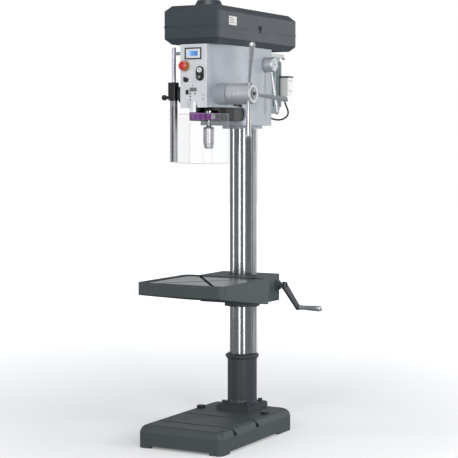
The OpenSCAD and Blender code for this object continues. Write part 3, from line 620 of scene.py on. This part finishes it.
def split_finishes():
    """The ground table top, the motor's pale flange and the terminal box's dark lid, by their heights."""
    surface = next(mount["pos_m"][2] for mount in frame["record"]["mounts"] if mount["name"] == "table_top")
    table = enamel("table_finish", IRON, rough=0.56, coat=0.0)
    ground_top(table, surface - 20 * MM, surface + 1.5 * MM, (0.185, 0.198, 0.206), rough=0.30, metallic=0.9)
    flange_low, flange_high = 1729.5 * MM, 1747.5 * MM
    motor = enamel("motor_finish", MOTOR_GREEN, rough=0.45, coat=0.2)
    second_finish(motor, flange_low, flange_high, (0.52, 0.54, 0.54))
    lid_low, lid_high = 1633.8 * MM, 1643 * MM
    box = enamel("box_finish", (0.72, 0.74, 0.69), rough=0.45, coat=0.1)
    second_finish(box, lid_low, lid_high, (0.045, 0.05, 0.052))
    for node, material in (("table", table), ("motor", motor), ("terminal_box", box)):
        NODES[node].data.materials[0] = material


def display_glass(low, high):
    """Lit picture behind glass: pale at its left edge, deeper blue to the right, with fine dots."""
    material, tree, shader = new_material("display_picture")
    place = tree.nodes.new("ShaderNodeTexCoord")
    split = tree.nodes.new("ShaderNodeSeparateXYZ")
    tree.links.new(place.outputs["Object"], split.inputs[0])
    across = tree.nodes.new("ShaderNodeMapRange")
    across.inputs["From Min"].default_value = low
    across.inputs["From Max"].default_value = high
    tree.links.new(split.outputs["X"], across.inputs["Value"])
    body = ramp(tree, across.outputs["Result"], [(0.0, (0.60, 0.76, 0.90)), (0.40, (0.12, 0.32, 0.68)),
                                                 (1.0, (0.06, 0.20, 0.55))])
    dots = ramp(tree, noise(tree, 1500, detail=1), [(0.4, (0.86, 0.86, 0.86)), (0.6, (1, 1, 1))])
    body = mix(tree, 1.0, body, dots, "MULTIPLY")
    tree.links.new(body, shader.inputs["Base Color"])
    tree.links.new(body, shader.inputs["Emission Color"])
    shader.inputs["Emission Strength"].default_value = 0.35
    tree.links.new(remap(tree, noise(tree, 40), 0.08, 0.2), shader.inputs["Roughness"])
    shader.inputs["Coat Weight"].default_value = 0.8
    return material


# ---- Control panel ----

def display_details():
    low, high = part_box("display")
    glass_y = low.y + 1.4 * MM
    frame_width = 5.2 * MM
    soft_box("display_surround", (low.x + frame_width, glass_y, low.z + frame_width),
             (high.x - frame_width, glass_y + 0.6 * MM, high.z - frame_width), 0.2 * MM,
             MATERIALS["white_plastic"], "frame")
    picture_low, picture_high = low.x + 13 * MM, high.x - 17 * MM
    soft_box("display_picture", (picture_low, glass_y - 0.4 * MM, low.z + 14 * MM),
             (picture_high, glass_y + 0.1 * MM, high.z - 14 * MM), 0.1 * MM,
             display_glass(picture_low, picture_high), "frame")


def panel_details():
    """Keys, lamp, sockets and rivets on the panel; their places are millimetres across and up."""
    key = [(3.4, 0), (3.2, 0.8), (2.2, 1.2), (0, 1.3)]
    lamp = [(2.6, 0), (2.5, 1.0), (1.4, 1.8), (0, 2.0)]
    socket = [(4.6, 0), (4.6, 1.2), (4.0, 1.6), (2.6, 1.6), (2.4, 0.4), (0, 0.4)]
    rivet = [(1.8, 0), (1.6, 0.6), (0, 1.0)]
    for number, (x, z) in enumerate(((-15, 1544), (-15, 1531), (-15, 1518), (8.5, 1544)), 1):
        lathe(f"panel_key_{number}", key, (x * MM, PANEL_FACE, z * MM), -Y,
              INK, "frame", steps=24)
    lathe("readout_lamp", lamp, (-3 * MM, PANEL_FACE, 1578 * MM), -Y,
          INK, "frame", steps=24)
    for number, z in enumerate((1538.5, 1521), 1):
        lathe(f"panel_socket_{number}", socket, (49.5 * MM, PANEL_FACE, z * MM), -Y,
              ZINC, "frame", steps=32)
    for number, x in enumerate((-40, -20, 0, 20, 40), 1):
        lathe(f"panel_rivet_{number}", rivet, (x * MM, PANEL_FACE, 1749 * MM), -Y,
              ZINC, "frame", steps=20)

    readout_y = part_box("position_readout")[0].y
    soft_box("readout_window", (-14.7 * MM, readout_y + 0.5 * MM, 1556.2 * MM),
             (14.7 * MM, readout_y + 1.2 * MM, 1567.8 * MM), 0.2 * MM,
             READOUT_WINDOW, "frame")


def control_details():
    # Symbols: a bar on the start button and a ring on the stop button
    start, stop = centre("start_button"), centre("stop_button")
    start_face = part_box("start_button")[0].y
    stop_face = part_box("stop_button")[0].y
    group_boxes("start_mark", [((start.x / MM - 0.9, start_face / MM + 0.2, start.z / MM - 4.5),
                                (start.x / MM + 0.9, start_face / MM + 1.0, start.z / MM + 4.5))],
                INK, "start")
    lathe("stop_mark", [(5.2, 0), (5.2, 0.55), (3.8, 0.55), (3.8, 0), (5.2, 0)],
          (stop.x, stop_face + 0.85 * MM, stop.z), -Y, PALE_PRINT, "stop", steps=40)

    # Position marks round the selector
    plate = centre("selector_plate")
    plate_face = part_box("selector_plate")[0].y
    dial_marks("selector_marks", (plate.x, plate_face, plate.z), "Y", 14 * MM,
               [(-120 + step * 30, (0.8, 0.5, 2.8)) for step in range(9)], "frame")

    # Graduations on the depth scale's front: every fifth is longer
    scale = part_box("depth_scale")[0] / MM
    lines = []
    for step in range(21):
        left, height = scale.x + 2.5, scale.z + 4 + step * 2
        reach = 12 if step % 5 == 0 else 7
        lines.append(((left, scale.y - 0.15, height - 0.2), (left + reach, scale.y + 0.3, height + 0.2)))
    group_boxes("depth_marks", lines, INK, "frame")

    # Seal ring round the neck of the emergency stop, on its yellow disc
    stop_button = centre("estop_button")
    collar_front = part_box("estop_collar")[0].y
    lathe("estop_seal", [(15.4, 0), (15.4, 1.6), (13.6, 2.4), (10, 2.4), (10, 0), (15.4, 0)],
          (stop_button.x, collar_front + 8.2 * MM, stop_button.z), -Y, INK, "frame")


# ---- Drive, guard and head ----

# Route in millimetres of the lead from the terminal box's gland to the back of the head
LEAD_ROUTE = [(110, 214, 1543), (111, 214, 1528), (117, 214, 1508), (126, 214, 1488), (132, 209, 1470),
              (132, 196, 1455), (126, 177, 1444), (117, 154, 1438), (107, 132, 1438), (98, 114, 1442),
              (89, 102, 1448), (80, 95.5, 1453), (72, 94, 1455)]


def smooth_route(points):
    """Points of a smooth line that passes through every given point."""
    steps = 6
    ends = [points[0] * 2 - points[1]] + points + [points[-1] * 2 - points[-2]]
    line = []
    for k in range(1, len(ends) - 2):
        p0, p1, p2, p3 = ends[k - 1:k + 3]
        for step in range(steps):
            t = step / steps
            line.append(0.5 * ((2 * p1) + (p2 - p0) * t + (2 * p0 - 5 * p1 + 4 * p2 - p3) * t ** 2
                               + (3 * p1 - p0 - 3 * p2 + p3) * t ** 3))
    line.append(points[-1])
    return line


def motor_lead():
    route = [Vector(point) * MM for point in LEAD_ROUTE]
    line = smooth_route(route)
    lead = round_curve("motor_lead", line, 4 * MM, 5)
    lead.data.materials.append(MATERIALS["cable_rubber"])
    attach(lead, "frame")
    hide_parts("motor_cable")
    gland_profile = [(4.2, 0), (6.2, 0), (6.8, 3), (8.6, 11), (9.4, 12), (9.4, 17), (4.2, 17), (4.2, 0)]
    boot_profile = [(4.2, 0), (9, 0), (9, 4), (6.4, 16), (4.9, 24), (4.2, 24), (4.2, 0)]
    gland = lathe("lead_gland", gland_profile, route[0] - 13 * MM * Z, Z,
                  MATERIALS["black_plastic"], "frame", steps=32)
    boot = lathe("lead_boot", boot_profile, route[-1], (route[-2] - route[-1]).normalized(),
                 MATERIALS["black_plastic"], "frame", steps=32)


def terminal_box_screws():
    screw = [(4.2, 0), (4.2, 1.2), (3.4, 2.0), (1.8, 2.0), (1.5, 0.9), (0, 0.9)]
    low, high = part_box("terminal_box")
    face = high.x - 3 * MM
    near, far = low.y + 16 * MM, high.y - 16 * MM
    bottom, top = low.z + 30 * MM, high.z - 22 * MM
    for number, (y, z) in enumerate(((near, bottom), (far, bottom), (near, top), (far, top)), 1):
        lathe(f"box_screw_{number}", screw, (face, y, z), X, ZINC, "frame", steps=24)


def motor_details():
    axis_y = centre("motor_pulley").y
    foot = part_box("motor")[0].z + 1 * MM
    bolt_circle = 75 * MM
    for number in range(4):
        angle = math.radians(45 + 90 * number)
        place = (bolt_circle * math.cos(angle), axis_y + bolt_circle * math.sin(angle), foot)
        hex_head(f"motor_bolt_{number + 1}", place, -Z, 10 * MM, 5 * MM,
                 MATERIALS["black_steel"], "frame")

    flange_underside = 1730.1 * MM
    for number, (x, y) in enumerate(((-78, -68), (78, -68), (-78, 70), (78, 70)), 1):
        hex_head(f"flange_bolt_{number}", (x * MM, axis_y + y * MM, flange_underside), -Z, 13 * MM, 8 * MM,
                 ZINC, "frame")

    # Blank plate bent round the motor's side
    radius, start, step, count = 92.8 * MM, math.radians(22), 0.09, 7
    plate = bmesh.new()
    angles = [start + k * step for k in range(count)]
    rows = []
    for z in (1560 * MM, 1640 * MM):
        rows.append([plate.verts.new((radius * math.sin(angle), axis_y + radius * math.cos(angle), z))
                     for angle in angles])
    for k in range(count - 1):
        plate.faces.new((rows[0][k], rows[0][k + 1], rows[1][k + 1], rows[1][k]))
    bmesh.ops.solidify(plate, geom=list(plate.faces), thickness=1 * MM)
    finish_shape("motor_plate", plate, LABEL, "frame", smooth=40)


def guard_details():
    """Pale plate on the guard's side with four plain bars and four rivets."""
    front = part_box("guard_lid")[0].y
    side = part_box("guard_tray")[1].x - 2 * MM
    soft_box("guard_plate", (side - 0.4 * MM, front + 92 * MM, 1841 * MM),
             (side + 1.2 * MM, front + 162 * MM, 1879 * MM), 0.4 * MM, LABEL, "lid")

    surface, left = side / MM + 1.0, front / MM + 101
    bars = []
    for step, reach in enumerate((26, 44, 36, 50)):
        height = 1872 - step * 7
        bars.append(((surface, left, height - 1.1), (surface + 0.4, left + reach, height + 1.1)))
    group_boxes("guard_plate_bars", bars, INK, "lid")

    rivet = [(1.7, 0), (1.4, 0.8), (0, 1.1)]
    for number, (y, z) in enumerate(((95, 1844), (159, 1844), (95, 1876), (159, 1876)), 1):
        lathe(f"guard_rivet_{number}", rivet, (side + 1 * MM, front + y * MM, z * MM), X,
              ZINC, "lid", steps=20)


def head_details():
    # Dial on the belt tension drum
    drum, drum_end = centre("tension_hub"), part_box("tension_hub")[1].x
    lathe("tension_dial", [(24, 0), (24, 0.7), (23, 1.0), (0, 1.0)], (drum_end - 0.2 * MM, drum.y, drum.z), X,
          DIAL_PRINT, "tension")
    dial_marks("tension_marks", (drum_end + 0.9 * MM, drum.y, drum.z), "X", 19.5 * MM,
               [(step * 15, (0.5, 0.7, 3.0 if step % 2 == 0 else 1.6)) for step in range(24)], "tension")
    hex_head("tension_nut", (drum_end + 0.8 * MM, drum.y, drum.z), X, 13 * MM, 4 * MM,
             ZINC, "tension", recess=0.5)

    # Cap and screw in the middle of the capstan's hub
    hub, hub_end = centre("capstan_hub"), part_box("capstan_hub")[1].x
    lathe("capstan_cap", [(27, 0), (27, 1.2), (24, 2.6), (12, 3.4), (11, 2.2), (0, 2.2)],
          (hub_end - 0.2 * MM, hub.y, hub.z), X, SHADED_CAP_STEEL, "feed")
    hex_head("capstan_screw", (hub_end + 1.8 * MM, hub.y, hub.z), X, 14 * MM, 6 * MM,
             MATERIALS["black_steel"], "feed", recess=0.5)


def grip_details():
    grip, grip_end = centre("crank_grip"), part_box("crank_grip")[1].x
    lathe("grip_cap", [(9, 0), (9, 1.0), (7, 2.2), (0, 2.6)], (grip_end - 2.6 * MM, grip.y, grip.z), X,
          MATERIALS["black_steel"], "grip")


def shield_details():
    """Painted highlight and shade: half-clear grey rods along the top and bottom of the clear shield, and at
    its bends, that stand in for the light its edges catch.
    """
    low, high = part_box("chuck_shield")
    inset = 1.5 * MM
    back = -393 * MM + inset
    front = low.y + inset
    corners = [(low.x, back), (-116 * MM, back), (4.5 * MM, front), (72.3 * MM, front),
               (96.5 * MM, -461.5 * MM), (high.x - inset, high.y - 1 * MM)]
    for name, z in (("shield_edge_shading_low", low.z + 1.2 * MM), ("shield_edge_shading_high", high.z - 1.2 * MM)):
        rod(name, [(x, y, z) for x, y in corners], 1.2 * MM, SHEET_EDGE_SHADING, "shield_arm")
    for number, (x, y) in enumerate(corners[1:]):
        rod(f"shield_bend_{number}", [(x, y, low.z + 2 * MM), (x, y, high.z - 2 * MM)], 0.7 * MM,
            SHEET_EDGE_SHADING, "shield_arm")


make_camera()
make_floor()
make_backdrop()
make_world()
make_lights()
dress_cad_nodes()
split_finishes()
motor_lead()
display_details()
panel_details()
control_details()
terminal_box_screws()
motor_details()
guard_details()
head_details()
grip_details()
shield_details()
